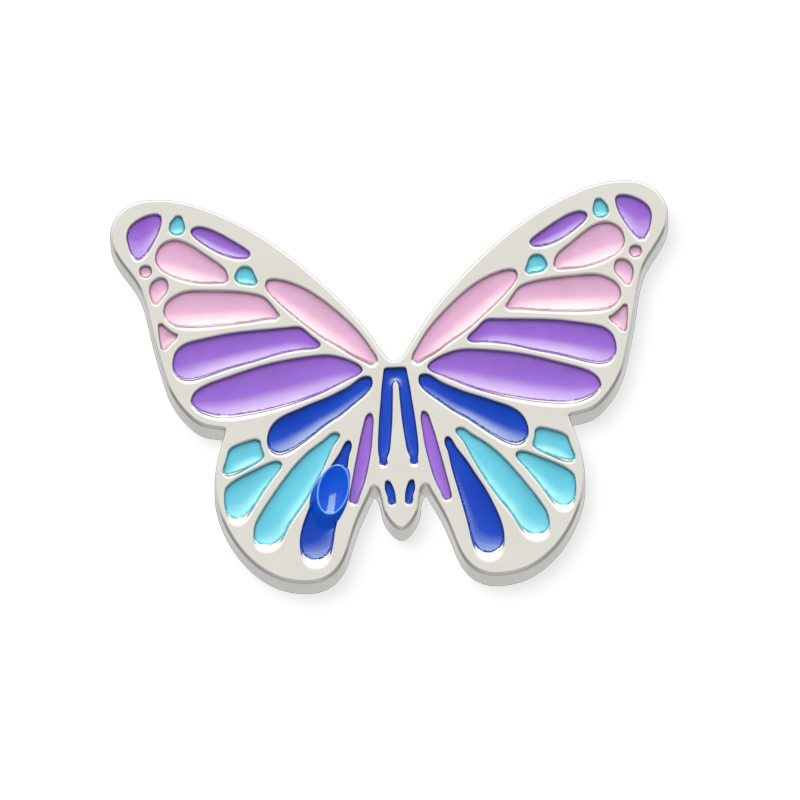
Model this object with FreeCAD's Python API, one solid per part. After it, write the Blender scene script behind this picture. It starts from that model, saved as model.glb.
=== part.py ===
import FreeCAD, Part
import math
import os

from FreeCAD import Vector

# Butterfly brooch, upright as it is worn: +X right and +Z up as seen from the front, -Y to the viewer.
# The origin is the middle of the pin wire's straight length, on its axis. All sizes are in millimetres.

# Plate
PLATE_THICKNESS = 2.0
PLATE_BACK_Y = -3.2                       # plane the pin bar is soldered to
FACE_Y = PLATE_BACK_Y - PLATE_THICKNESS   # polished front face
RIM_RADIUS = 0.25                         # rounding of the front face's outer edge
CORNER_RADIUS = 0.15                      # rounding of the outline's inner corners
ART_Z = -0.5                              # height of the wing pattern's own zero line

# Enamel cells
CELL_DEPTH = 0.8                          # pocket floor below the face
ENAMEL_SINK = 0.26                        # enamel surface below the face
WALL_RUN = 0.07                           # width of the sloped wall round a cell
WALL_RUN_BELOW = 0.15                     # and along its lower edge
CUT_OVERSHOOT = 0.05                      # how far a cutting tool stands out of the face
WRAP = 4                                  # points by which a closed spline runs past its start
SAMPLES_PER_POINT = 3                     # places at which a cell's wall width is set

# Pin bar
BAR_THICKNESS = 0.6
BAR_HALF_LENGTH = 12.0
BAR_HALF_WIDTH = 2.2
BAR_NARROW_LENGTH = 4.2                   # narrow end between the ears
BAR_SHOULDER = 1.2                        # length over which the bar widens
BAR_END_ROUND = 1.2
BAR_SHOULDER_ROUND = 0.6
BAR_NARROW_ROUND = 0.3
BAR_TOP_Y = PLATE_BACK_Y + BAR_THICKNESS
SHEET = 0.5                               # thickness of the folded ears and of the catch housing
SOLDER_X = 4.6                            # the two solder holes stand this far from the middle
SOLDER_HOLE_RADIUS = 0.9
SOLDER_DOME_RADIUS = 1.3
SOLDER_DOME_HEIGHT = 0.28

# Pin wire and its hinge
WIRE_RADIUS = 0.4
WIRE_HALF_STRAIGHT = 8.2
WIRE_TAPER = [(9.4, 0.35), (10.7, 0.23)]  # x and radius on the way to the point
WIRE_TIP_X = 11.9
WIRE_TIP_RADIUS = 0.05
HINGE_X = -10.4
RIVET_RADIUS = 0.45
RIVET_HEAD_RADIUS = 0.85
RIVET_HEAD_HEIGHT = 0.4
RIVET_CLEARANCE = 0.05
COIL_WIRE_RADIUS = WIRE_RADIUS + 0.02     # the wire swells a little where it is bent
COIL_RADIUS = RIVET_RADIUS + RIVET_CLEARANCE + COIL_WIRE_RADIUS
COIL_PITCH = 0.8
COIL_TURNS = 3
HINGE_Y = -COIL_RADIUS
EAR_RADIUS = 1.15
EAR_FOOT_HALF = 1.45
EAR_INNER_Z = 1.3
EAR_OUTER_Z = EAR_INNER_Z + SHEET

# Safety catch
CATCH_X = 10.4
CATCH_HALF_LENGTH = 1.1
CHEEK_RADIUS = 1.55
CHEEK_BORE_RADIUS = 1.0
CHEEK_SLOT_HALF = 0.55
ROLLER_RADIUS = 0.95
ROLLER_BORE_RADIUS = 0.5
ROLLER_SLOT_HALF = 0.5
ROLLER_OVERHANG = 0.05
FLANGE_RADIUS = 1.6
FLANGE_HALF_LENGTH = 0.54
TAB_ROOT = 1.3
TAB_REACH = 2.7
TAB_ROUND = 0.2
TAB_THICKNESS = 0.55
TAB_ANGLE = -50.0                         # degrees from +Y towards +Z, catch open

# Raised bead on the lower blue cell of one wing: it rises from a leaning ellipse on the face to the crest
# of a rim, and is hollowed inside the rim. An ellipse is its centre's x and z, half length and half width.
BEAD_LEAN = 13.5                          # degrees
BEAD_FOOT = (-4.84, -6.9, 2.3, 1.4)
BEAD_CREST = (-4.73, -6.86, 1.89, 1.07)
BEAD_HEIGHT = 0.5
BEAD_RISE = [(0.0, 0.0), (0.16, 0.44), (0.48, 0.8), (1.0, 1.0)]   # share of the way in, share of the height
BEAD_LIP = 0.1                            # width of the flat crest
BEAD_HOLLOW = 0.42                        # depth of the hollow in its middle

# Outline of the right half, in the pattern's own x and z. It runs from the notch between the fore wings
# round the fore wing to the corner between the wings, then round the hind wing, then round the tail.
FORE_WING = [
    (0.0, 3.12), (0.4, 3.27), (0.75, 3.7), (2.0, 5.75), (4.0, 8.36), (7.0, 11.48), (10.0, 13.92),
    (13.0, 15.63), (15.0, 16.4), (17.0, 16.67), (18.6, 16.4), (19.6, 15.68), (20.15, 14.6),
    (20.2, 13.4), (19.5, 11.7), (18.27, 9.68), (17.75, 7.9), (17.3, 5.6), (16.72, 3.2),
    (16.15, 1.35), (15.05, -0.4), (14.0, -1.3), (13.0, -1.6), (12.32, -1.72),
]
HIND_WING = [
    (12.32, -1.72), (12.75, -3.4), (13.08, -5.0), (13.12, -7.0), (12.58, -9.0), (11.55, -10.93),
    (10.0, -12.6), (8.5, -13.44), (7.0, -13.73), (5.9, -13.63), (5.0, -13.17), (4.3, -12.35),
    (3.63, -10.65), (2.97, -8.85), (2.3, -7.45), (1.88, -6.52),
]
TAIL = [(1.88, -6.52), (1.5, -7.1), (1.3, -8.2), (0.8, -9.37), (0.0, -9.97)]

# Enamel outlines of the right half: name, extra width of the sloped wall at the cell's lower end,
# width of the sloped wall at its upper edge and sides, and the points.
WING_CELLS = [
    ("fore_tip_purple", 0.2, WALL_RUN, [
        (16.73, 15.4), (17.1, 15.45), (18.0, 15.15), (18.73, 14.55), (19.0, 13.9), (18.86, 13.0),
        (18.64, 12.37), (18.27, 12.05), (17.9, 12.24), (17.27, 13.1), (16.77, 14.1), (16.55, 14.9),
        (16.58, 15.25)]),
    ("fore_top_turquoise", 0.15, WALL_RUN, [
        (15.32, 15.24), (15.6, 14.98), (15.83, 14.65), (15.88, 14.2), (15.7, 13.98), (15.42, 13.92),
        (15.1, 13.96), (14.92, 14.15), (14.88, 14.5), (15.0, 14.95), (15.15, 15.2)]),
    ("fore_top_purple", 0.15, WALL_RUN, [
        (10.2, 12.03), (10.32, 12.23), (11.0, 12.78), (12.0, 13.48), (13.0, 14.06), (13.6, 14.27),
        (14.1, 14.24), (14.33, 14.0), (14.2, 13.7), (13.8, 13.3), (13.0, 12.68), (12.0, 12.12),
        (11.1, 11.85), (10.5, 11.82), (10.25, 11.88)]),
    ("fore_fan_pink", 0.15, WALL_RUN, [
        (11.87, 10.05), (11.84, 10.3), (11.95, 10.68), (13.0, 11.74), (14.0, 12.55), (15.0, 13.2),
        (15.65, 13.35), (16.36, 13.1), (16.82, 12.55), (16.95, 11.9), (16.73, 11.3), (16.0, 10.72),
        (15.0, 10.3), (14.0, 10.05), (13.0, 9.95), (12.2, 9.92), (11.97, 9.93)]),
    ("fore_drop_turquoise", 0.15, WALL_RUN, [
        (9.78, 9.75), (9.84, 10.1), (10.02, 10.6), (10.3, 10.93), (10.62, 11.0), (10.93, 10.86),
        (11.16, 10.5), (11.24, 10.15), (11.1, 9.94), (10.57, 9.77), (10.1, 9.69), (9.87, 9.67)]),
    ("fore_dot_pink", 0.09, 0.06, [
        (17.73 + 0.4 * math.cos(math.radians(a)), 11.0 + 0.4 * math.sin(math.radians(a)))
        for a in range(0, 360, 45)]),
    ("fore_teardrop_pink", 0.15, WALL_RUN, [
        (16.6, 10.37), (16.95, 10.28), (17.3, 9.93), (17.45, 9.5), (17.4, 9.1), (17.22, 8.55),
        (17.08, 8.4), (16.93, 8.5), (16.6, 8.92), (16.22, 9.45), (16.17, 9.85), (16.32, 10.2)]),
    ("fore_band_pink", 0.2, WALL_RUN, [
        (8.24, 6.98), (8.3, 7.2), (8.75, 7.9), (9.2, 8.45), (9.45, 8.62), (10.0, 8.82), (11.0, 9.03),
        (12.0, 9.14), (13.5, 9.22), (15.0, 9.18), (15.6, 8.93), (16.25, 8.37), (16.45, 7.83),
        (16.28, 7.22), (15.8, 6.78), (15.0, 6.6), (14.0, 6.56), (12.0, 6.65), (10.0, 6.82),
        (8.6, 6.93), (8.35, 6.93)]),
    ("fore_triangle_pink", 0.11, 0.06, [
        (16.83, 6.72), (16.87, 6.55), (16.83, 5.8), (16.72, 5.0), (16.6, 4.78), (16.48, 4.82),
        (16.1, 5.25), (15.63, 5.7), (15.58, 5.82), (15.7, 5.9), (16.2, 6.27), (16.6, 6.65),
        (16.75, 6.77)]),
    ("fore_edge_pink", 0.3, WALL_RUN, [
        (1.3, 3.33), (1.5, 3.78), (2.0, 4.65), (3.0, 6.05), (4.0, 7.12), (5.0, 8.08), (6.0, 8.87),
        (7.0, 9.45), (8.0, 9.82), (8.6, 9.9), (8.95, 9.78), (9.05, 9.45), (8.85, 8.95), (8.4, 8.38),
        (7.0, 6.95), (6.0, 6.02), (5.0, 5.22), (4.0, 4.55), (3.0, 3.83), (2.0, 3.27), (1.5, 3.07),
        (1.33, 3.13)]),
    ("fore_band_purple_upper", 0.25, WALL_RUN, [
        (5.45, 4.5), (5.32, 4.58), (5.4, 4.75), (6.0, 5.33), (6.6, 5.93), (6.8, 6.04), (7.1, 6.06),
        (8.0, 6.01), (10.0, 5.9), (12.0, 5.72), (14.0, 5.35), (15.0, 5.07), (15.6, 4.55),
        (15.87, 3.8), (15.8, 3.05), (15.35, 2.57), (14.7, 2.44), (14.0, 2.56), (12.0, 3.17),
        (10.0, 3.67), (8.0, 4.2), (6.3, 4.4)]),
    ("fore_band_purple_lower", 0.35, WALL_RUN, [
        (2.45, 2.42), (2.38, 2.53), (2.45, 2.68), (3.0, 3.13), (4.0, 3.57), (4.75, 3.74), (6.0, 3.71),
        (8.0, 3.45), (10.0, 3.0), (12.0, 2.36), (13.0, 2.03), (13.95, 1.6), (14.5, 1.05),
        (14.62, 0.6), (14.35, 0.2), (13.9, -0.1), (13.0, -0.42), (12.2, -0.51), (11.0, -0.43),
        (9.0, -0.1), (7.0, 0.42), (5.0, 1.14), (3.2, 1.97)]),
    ("hind_upper_blue", 0.3, WALL_RUN, [
        (1.71, 1.55), (1.83, 1.88), (2.15, 1.94), (3.0, 1.44), (4.0, 0.86), (5.0, 0.39), (6.0, 0.02),
        (7.0, -0.4), (8.0, -0.82), (8.8, -1.43), (9.2, -2.2), (9.26, -2.85), (9.0, -3.35),
        (8.4, -3.55), (7.8, -3.4), (7.0, -2.92), (6.0, -2.2), (5.0, -1.44), (4.0, -0.8), (3.0, 0.02),
        (2.0, 0.9)]),
    ("hind_corner_turquoise", 0.3, WALL_RUN, [
        (9.9, -2.72), (10.05, -2.6), (10.4, -2.6), (11.0, -2.77), (11.6, -3.0), (12.0, -3.3),
        (12.2, -3.85), (12.42, -4.55), (12.47, -4.85), (12.4, -5.0), (12.1, -5.02), (11.5, -4.85),
        (10.5, -4.4), (9.85, -4.05), (9.66, -3.85), (9.68, -3.6), (9.8, -3.15)]),
    ("hind_short_turquoise", 0.55, WALL_RUN, [
        (8.4, -4.55), (8.6, -4.35), (9.0, -4.37), (10.0, -4.8), (11.0, -5.28), (12.0, -5.9),
        (12.35, -6.3), (12.46, -6.9), (12.43, -7.5), (12.2, -8.15), (11.85, -8.43), (11.4, -8.44),
        (11.0, -8.18), (10.0, -6.85), (9.0, -5.45), (8.55, -4.88)]),
    ("hind_long_turquoise", 0.55, WALL_RUN, [
        (4.2, -2.45), (4.45, -2.33), (5.0, -2.64), (6.0, -3.4), (7.0, -4.3), (8.0, -5.5), (9.0, -6.9),
        (10.0, -8.45), (10.35, -9.2), (10.43, -9.85), (10.25, -10.35), (9.8, -10.55), (9.3, -10.55),
        (8.8, -10.3), (8.0, -9.1), (7.0, -7.65), (6.0, -6.0), (5.0, -3.95), (4.4, -2.85)]),
    ("hind_lower_blue", 0.7, WALL_RUN, [
        (3.42, -3.12), (3.53, -2.97), (3.68, -3.1), (4.1, -3.85), (4.78, -4.9), (5.33, -5.9),
        (6.08, -7.25), (6.5, -8.2), (6.85, -9.1), (7.1, -9.95), (7.17, -10.8), (7.0, -11.35),
        (6.6, -11.73), (6.05, -11.84), (5.5, -11.63), (5.1, -11.1), (4.85, -10.1), (4.5, -8.4),
        (4.0, -6.25), (3.7, -4.8), (3.53, -3.9)]),
    ("hind_slim_purple", 0.36, 0.06, [
        (1.78, -1.15), (1.9, -0.93), (2.07, -1.05), (2.33, -1.62), (2.65, -2.85), (2.9, -4.0),
        (3.1, -4.9), (3.37, -6.23), (3.57, -7.35), (3.5, -7.67), (3.3, -7.68), (3.05, -7.35),
        (2.55, -6.15), (2.2, -4.8), (1.9, -3.1), (1.78, -1.9)]),
    ("head_eye_blue", 0.34, 0.06, [
        (0.9, -6.18), (1.0, -6.4), (0.98, -6.9), (0.83, -7.4), (0.68, -7.83), (0.52, -7.9),
        (0.41, -7.65), (0.43, -7.1), (0.6, -6.55), (0.75, -6.28)]),
]

# The body's own cell is a wishbone round a metal tongue. Right half, from the top to the tongue's tip.
BODY_CELL_NAME = "body_wishbone_blue"
BODY_CELL_FLARE = 0.42
BODY_CELL_WALL = 0.06
BODY_CELL_HALF = [
    (0.5, 2.54), (0.7, 2.5), (0.78, 2.3), (0.82, 2.0), (0.96, 1.1), (1.06, 0.1), (1.18, -0.9),
    (1.28, -1.9), (1.36, -2.9), (1.38, -3.9), (1.28, -4.6), (1.13, -4.9), (1.0, -4.86),
    (0.9, -4.5), (0.75, -4.0), (0.55, -2.9), (0.44, -1.9), (0.36, -0.9), (0.31, 0.1), (0.27, 1.0),
    (0.2, 1.43), (0.0, 1.62),
]


def at(x, z, depth=0.0):
    """A point of the pattern, at a depth below the front face."""
    return Vector(x, FACE_Y + depth, z + ART_Z)


def mirrored(points):
    return [(-x, z) for x, z in reversed(points)]


# ---------------------------------------------------------------- plate and enamel

def arcs_between(curve, breaks):
    """The curve's stretches from each break to the next, as edges."""
    edges = []
    for start, end in zip(breaks, breaks[1:]):
        arc = curve.copy()
        arc.segment(start, end)
        edges.append(arc.toShape())
    return edges


def closed_curve(spots, parameters=None):
    """A smooth closed curve through the spots: a spline that runs on past its own start."""
    curve = Part.BSplineCurve()
    ring = spots[-WRAP:] + spots + spots[:WRAP + 1]
    if parameters:
        curve.interpolate(Points=ring, Parameters=parameters)
    else:
        curve.interpolate(ring)
    return curve


def prism(wire, depth):
    return Part.Face(wire).extrude(Vector(0, depth, 0))


def wall_width(spot, outward, run, flare, low, high):
    """The sloped wall is wider where it faces up, most of all at the cell's lower end."""
    facing_down = max(0.0, -outward.z)
    nearness = (high - spot.z) / (high - low)
    return run + (WALL_RUN_BELOW - WALL_RUN) * facing_down + flare * (facing_down * nearness) ** 2


def cell(points, run, flare):
    """One cell: the enamel that fills it, and the sloped opening above the enamel."""
    count = len(points)
    samples = SAMPLES_PER_POINT * count
    floor = closed_curve([at(x, z, ENAMEL_SINK) for x, z in points])
    knots = floor.getKnots()
    first, last = knots[WRAP], knots[WRAP + count]
    middle = knots[WRAP + count // 2]
    breaks = [first, middle, last]
    step = (last - first) / samples
    area = sum(a[0] * b[1] - b[0] * a[1] for a, b in zip(points, points[1:] + points[:1]))
    side = 1.0 if area > 0 else -1.0
    reach = (ENAMEL_SINK + CUT_OVERSHOOT) / ENAMEL_SINK
    low = min(z for x, z in points) + ART_Z
    high = max(z for x, z in points) + ART_Z
    edge = []
    for i in range(samples):
        spot = floor.value(first + step * i)
        direction = floor.tangent(first + step * i)[0]
        outward = Vector(direction.z * side, 0, -direction.x * side)
        width = wall_width(spot, outward, run, flare, low, high) * reach
        edge.append(spot + outward * width + Vector(0, -ENAMEL_SINK - CUT_OVERSHOOT, 0))
    parameters = [first + step * i for i in range(-WRAP, samples + WRAP + 1)]
    mouth = closed_curve(edge, parameters)
    floor_wire = Part.Wire(arcs_between(floor, breaks))
    mouth_wire = Part.Wire(arcs_between(mouth, breaks))
    enamel = prism(floor_wire, CELL_DEPTH - ENAMEL_SINK)
    opening = Part.makeLoft([floor_wire, mouth_wire], True, True)
    return enamel, opening


def make_cells():
    """All enamel pieces by name, and the openings above them in the same order."""
    enamels, openings = {}, {}
    across = Vector(1, 0, 0)
    for name, flare, run, points in WING_CELLS:
        enamel, opening = cell(points, run, flare)
        for side in ("right", "left"):
            full_name = "enamel_" + name + "_" + side
            if side == "left":
                enamel = enamel.mirror(Vector(0, 0, 0), across)
                opening = opening.mirror(Vector(0, 0, 0), across)
            enamels[full_name] = enamel
            openings[full_name] = opening
    outline = BODY_CELL_HALF + mirrored(BODY_CELL_HALF[:-1])
    full_name = "enamel_" + BODY_CELL_NAME
    enamels[full_name], openings[full_name] = cell(outline, BODY_CELL_WALL, BODY_CELL_FLARE)
    return enamels, openings


def run_edges(points):
    """An open run of the outline, as two arcs that meet smoothly at its middle point."""
    curve = Part.BSplineCurve()
    curve.interpolate([at(x, z) for x, z in points])
    knots = curve.getKnots()
    return arcs_between(curve, [knots[0], knots[len(knots) // 2], knots[-1]])


def plate_blank():
    edges = []
    fore_wings = mirrored(FORE_WING)[:-1] + FORE_WING
    whole_tail = TAIL + mirrored(TAIL)[1:]
    for run in (fore_wings, HIND_WING, whole_tail, mirrored(HIND_WING)):
        edges += run_edges(run)
    outline = Part.Wire(Part.sortEdges(edges)[0])
    blank = Part.Face(outline).extrude(Vector(0, PLATE_THICKNESS, 0))
    corners = [e for e in blank.Edges if abs(e.tangentAt(e.FirstParameter).y) > 0.99]
    blank = blank.makeFillet(CORNER_RADIUS, corners)
    rim = [e for e in blank.Edges if abs(e.CenterOfMass.y - FACE_Y) < 1e-6]
    return blank.makeFillet(RIM_RADIUS, rim)


def bead_ellipse(share):
    """Centre x and z, half length and half width, part of the way from the bead's foot to its crest."""
    return [foot + (crest - foot) * share for foot, crest in zip(BEAD_FOOT, BEAD_CREST)]


def ellipse_wire(ellipse, height):
    """A bead's ellipse at a height above the face, with its long axis leaning out of the vertical."""
    x, z, half_length, half_width = ellipse
    lean = math.radians(BEAD_LEAN)
    centre = at(x, z, -height)
    long_tip = centre + Vector(math.sin(lean), 0, math.cos(lean)) * half_length
    short_tip = centre + Vector(math.cos(lean), 0, -math.sin(lean)) * half_width
    return Part.Wire(Part.Ellipse(long_tip, short_tip, centre).toShape())


def bead_hollow():
    """A ball squeezed to fit inside the bead's rim."""
    x, z, half_length, half_width = BEAD_CREST
    squeeze = FreeCAD.Matrix()
    squeeze.scale(half_width - BEAD_LIP, BEAD_HOLLOW, half_length - BEAD_LIP)
    hollow = Part.makeSphere(1.0).transformGeometry(squeeze)
    hollow.rotate(Vector(0, 0, 0), Vector(0, 1, 0), BEAD_LEAN)
    hollow.translate(at(x, z, -BEAD_HEIGHT))
    return hollow


def make_bead(opening):
    """A drop of enamel that stands out of its cell and laps onto the metal on both sides."""
    sections = [ellipse_wire(bead_ellipse(share), BEAD_HEIGHT * rise) for share, rise in BEAD_RISE]
    dome = Part.makeLoft(sections, True, False).cut(bead_hollow())
    base = Part.Face(ellipse_wire(BEAD_FOOT, 0.0))
    root = base.extrude(Vector(0, ENAMEL_SINK, 0)).common(opening)
    return dome.fuse(root).removeSplitter()


# ---------------------------------------------------------------- pin back

def disc(radius, length, centre, axis):
    return Part.makeCylinder(radius, length, centre, axis)


def bar_plan():
    """The bar seen from behind: a rounded strip, with a narrow end that the ears fold up from."""
    neck_x = -BAR_HALF_LENGTH + BAR_NARROW_LENGTH
    corners = [
        (-BAR_HALF_LENGTH, EAR_OUTER_Z), (neck_x, EAR_OUTER_Z), (neck_x + BAR_SHOULDER, BAR_HALF_WIDTH),
        (BAR_HALF_LENGTH, BAR_HALF_WIDTH),
    ]
    lower = [(x, -z) for x, z in corners]
    return [Vector(x, PLATE_BACK_Y, z) for x, z in lower + corners[::-1] + lower[:1]]


def make_pin_bar():
    neck_x = -BAR_HALF_LENGTH + BAR_NARROW_LENGTH
    bar = Part.Face(Part.makePolygon(bar_plan())).extrude(Vector(0, BAR_THICKNESS, 0))
    upright = [e for e in bar.Edges if abs(e.tangentAt(e.FirstParameter).y) > 0.99]
    far = [e for e in upright if e.CenterOfMass.x > BAR_HALF_LENGTH - 0.01]
    near = [e for e in upright if e.CenterOfMass.x < neck_x - 0.01]
    soft = [e for e in upright if neck_x - 0.01 <= e.CenterOfMass.x <= BAR_HALF_LENGTH - 0.01]
    for radius, edges in ((BAR_END_ROUND, far), (BAR_SHOULDER_ROUND, soft), (BAR_NARROW_ROUND, near)):
        bar = bar.makeFillet(radius, match(bar, edges))
    for x in (-SOLDER_X, SOLDER_X):
        bar = bar.cut(disc(SOLDER_HOLE_RADIUS, BAR_THICKNESS, Vector(x, PLATE_BACK_Y, 0), Vector(0, 1, 0)))
    bar = bar.fuse([make_ear(EAR_INNER_Z), make_ear(-EAR_OUTER_Z)]).removeSplitter()
    hole_start = Vector(HINGE_X, HINGE_Y, -EAR_OUTER_Z)
    return bar.cut(disc(RIVET_RADIUS, 2 * EAR_OUTER_Z, hole_start, Vector(0, 0, 1)))


def match(shape, edges):
    """The edges of a shape that lie where the given edges lay."""
    spots = [e.CenterOfMass for e in edges]
    return [e for e in shape.Edges if any(e.CenterOfMass.isEqual(s, 1e-5) for s in spots)]


def make_ear(low_z):
    """One folded ear: straight sides from the strip up to a round top about the rivet."""
    foot_y = PLATE_BACK_Y + BAR_THICKNESS / 2
    left = Vector(HINGE_X - EAR_RADIUS, HINGE_Y, low_z)
    top = Vector(HINGE_X, HINGE_Y + EAR_RADIUS, low_z)
    right = Vector(HINGE_X + EAR_RADIUS, HINGE_Y, low_z)
    foot_right = Vector(HINGE_X + EAR_FOOT_HALF, foot_y, low_z)
    foot_left = Vector(HINGE_X - EAR_FOOT_HALF, foot_y, low_z)
    outline = Part.Wire([
        Part.Arc(left, top, right).toShape(),
        Part.makeLine(right, foot_right),
        Part.makeLine(foot_right, foot_left),
        Part.makeLine(foot_left, left),
    ])
    return Part.Face(outline).extrude(Vector(0, 0, SHEET))


def dome_middle(radius, height):
    """Half-way point of a spherical dome's profile: its distance from the axis, and its height."""
    sphere = (radius ** 2 + height ** 2) / (2 * height)
    half_angle = math.asin(radius / sphere) / 2
    return sphere * math.sin(half_angle), height - sphere * (1 - math.cos(half_angle))


def make_hinge_rivet():
    """A round shank with a domed head outside each ear, turned about the hinge axis."""
    middle_radius, middle_height = dome_middle(RIVET_HEAD_RADIUS, RIVET_HEAD_HEIGHT)
    upper = [
        (RIVET_RADIUS, EAR_OUTER_Z), (RIVET_HEAD_RADIUS, EAR_OUTER_Z),
        (middle_radius, EAR_OUTER_Z + middle_height), (0, EAR_OUTER_Z + RIVET_HEAD_HEIGHT),
    ]
    points = [(r, -z) for r, z in reversed(upper)] + upper
    spots = [Vector(HINGE_X + r, HINGE_Y, z) for r, z in points]
    outline = Part.Wire([
        Part.Arc(spots[0], spots[1], spots[2]).toShape(),
        Part.makeLine(spots[2], spots[3]),
        Part.makeLine(spots[3], spots[4]),
        Part.makeLine(spots[4], spots[5]),
        Part.Arc(spots[5], spots[6], spots[7]).toShape(),
        Part.makeLine(spots[7], spots[0]),
    ])
    return Part.Face(outline).revolve(Vector(HINGE_X, HINGE_Y, 0), Vector(0, 0, 1), 360)


def coil_profile():
    """Section of the touching turns of the wire's coil, in one closed wire beside the hinge axis."""
    centre_x = HINGE_X + COIL_RADIUS
    half = COIL_PITCH / 2
    notch = math.sqrt(COIL_WIRE_RADIUS ** 2 - half ** 2)
    end_z = COIL_PITCH * (COIL_TURNS - 1) / 2
    edges = []
    for side in (1, -1):
        for i in range(COIL_TURNS):
            z = COIL_PITCH * i - end_z
            low = Vector(centre_x + side * notch, HINGE_Y, z - half)
            high = Vector(centre_x + side * notch, HINGE_Y, z + half)
            if i == 0:
                low = Vector(centre_x, HINGE_Y, z - COIL_WIRE_RADIUS)
            if i == COIL_TURNS - 1:
                high = Vector(centre_x, HINGE_Y, z + COIL_WIRE_RADIUS)
            bulge = Vector(centre_x + side * COIL_WIRE_RADIUS, HINGE_Y, z)
            edges.append(Part.Arc(low, bulge, high).toShape())
    return Part.Wire(Part.sortEdges(edges)[0])


def make_pin_stem():
    """The wire: coiled round the rivet, drawn down a little, straight across the back, then to a point."""
    taper = Part.BSplineCurve()
    ends = [(WIRE_HALF_STRAIGHT, WIRE_RADIUS)] + WIRE_TAPER + [(WIRE_TIP_X, WIRE_TIP_RADIUS)]
    taper.interpolate([Vector(x, radius, 0) for x, radius in ends])
    axis_start = Vector(HINGE_X, 0, 0)
    neck_start = Vector(HINGE_X, COIL_WIRE_RADIUS, 0)
    straight_start = Vector(-WIRE_HALF_STRAIGHT, WIRE_RADIUS, 0)
    straight_end = Vector(WIRE_HALF_STRAIGHT, WIRE_RADIUS, 0)
    tip = Vector(WIRE_TIP_X, WIRE_TIP_RADIUS, 0)
    axis_end = Vector(WIRE_TIP_X, 0, 0)
    outline = Part.Wire([
        Part.makeLine(axis_start, neck_start),
        Part.makeLine(neck_start, straight_start),
        Part.makeLine(straight_start, straight_end),
        taper.toShape(),
        Part.makeLine(tip, axis_end),
        Part.makeLine(axis_end, axis_start),
    ])
    wire = Part.Face(outline).revolve(Vector(0, 0, 0), Vector(1, 0, 0), 360)
    coil = Part.Face(coil_profile()).revolve(Vector(HINGE_X, HINGE_Y, 0), Vector(0, 0, 1), 360)
    return coil.fuse(wire)


def make_catch_housing():
    """A folded channel: a foot on the bar, and two cheeks with a keyhole slot open to the back."""
    low_x = CATCH_X - CATCH_HALF_LENGTH
    length = 2 * CATCH_HALF_LENGTH
    foot = Part.makeBox(length, SHEET, 2 * CHEEK_RADIUS, Vector(low_x, BAR_TOP_Y, -CHEEK_RADIUS))
    cheeks = []
    for x in (low_x, CATCH_X + CATCH_HALF_LENGTH - SHEET):
        post = Part.makeBox(SHEET, -BAR_TOP_Y, 2 * CHEEK_RADIUS, Vector(x, BAR_TOP_Y, -CHEEK_RADIUS))
        crown = disc(CHEEK_RADIUS, SHEET, Vector(x, 0, 0), Vector(1, 0, 0))
        cheeks.append(post.fuse(crown))
    housing = foot.fuse(cheeks).removeSplitter()
    bore = disc(CHEEK_BORE_RADIUS, length, Vector(low_x, 0, 0), Vector(1, 0, 0))
    slot_corner = Vector(low_x, 0, -CHEEK_SLOT_HALF)
    slot = Part.makeBox(length, 2 * CHEEK_RADIUS, 2 * CHEEK_SLOT_HALF, slot_corner)
    return housing.cut([bore, slot])


def make_catch_roller():
    """A slotted barrel that turns in the cheeks, with a flange between them and a thumb tab."""
    length = 2 * (CATCH_HALF_LENGTH + ROLLER_OVERHANG)
    start = Vector(CATCH_X - length / 2, 0, 0)
    flange_x = CATCH_X - FLANGE_HALF_LENGTH
    along = Vector(1, 0, 0)
    barrel = disc(ROLLER_RADIUS, length, start, along)
    flange = disc(FLANGE_RADIUS, 2 * FLANGE_HALF_LENGTH, Vector(flange_x, 0, 0), along)
    tab_corner = Vector(flange_x, TAB_ROOT, -TAB_THICKNESS / 2)
    tab = Part.makeBox(2 * FLANGE_HALF_LENGTH, TAB_REACH - TAB_ROOT, TAB_THICKNESS, tab_corner)
    outer = [e for e in tab.Edges if e.CenterOfMass.y > TAB_REACH - 0.01 and abs(e.CenterOfMass.z) > 0.1]
    tab = tab.makeFillet(TAB_ROUND, outer)
    tab.rotate(Vector(0, 0, 0), along, TAB_ANGLE)
    roller = barrel.fuse([flange, tab]).removeSplitter()
    bore = disc(ROLLER_BORE_RADIUS, length, start, along)
    slot_corner = start - Vector(0, 0, ROLLER_SLOT_HALF)
    slot = Part.makeBox(length, 2 * FLANGE_RADIUS, 2 * ROLLER_SLOT_HALF, slot_corner)
    return roller.cut([bore, slot])


def make_solder(x):
    """Solder that fills one hole of the bar and stands on it in a low dome."""
    middle_radius, middle_height = dome_middle(SOLDER_DOME_RADIUS, SOLDER_DOME_HEIGHT)
    points = [
        (0, PLATE_BACK_Y), (SOLDER_HOLE_RADIUS, PLATE_BACK_Y), (SOLDER_HOLE_RADIUS, BAR_TOP_Y),
        (SOLDER_DOME_RADIUS, BAR_TOP_Y), (middle_radius, BAR_TOP_Y + middle_height),
        (0, BAR_TOP_Y + SOLDER_DOME_HEIGHT),
    ]
    spots = [Vector(x + r, y, 0) for r, y in points]
    outline = Part.Wire([
        Part.makeLine(spots[0], spots[1]),
        Part.makeLine(spots[1], spots[2]),
        Part.makeLine(spots[2], spots[3]),
        Part.Arc(spots[3], spots[4], spots[5]).toShape(),
        Part.makeLine(spots[5], spots[0]),
    ])
    return Part.Face(outline).revolve(Vector(x, 0, 0), Vector(0, 1, 0), 360)


# ---------------------------------------------------------------- write the sub-parts

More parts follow.
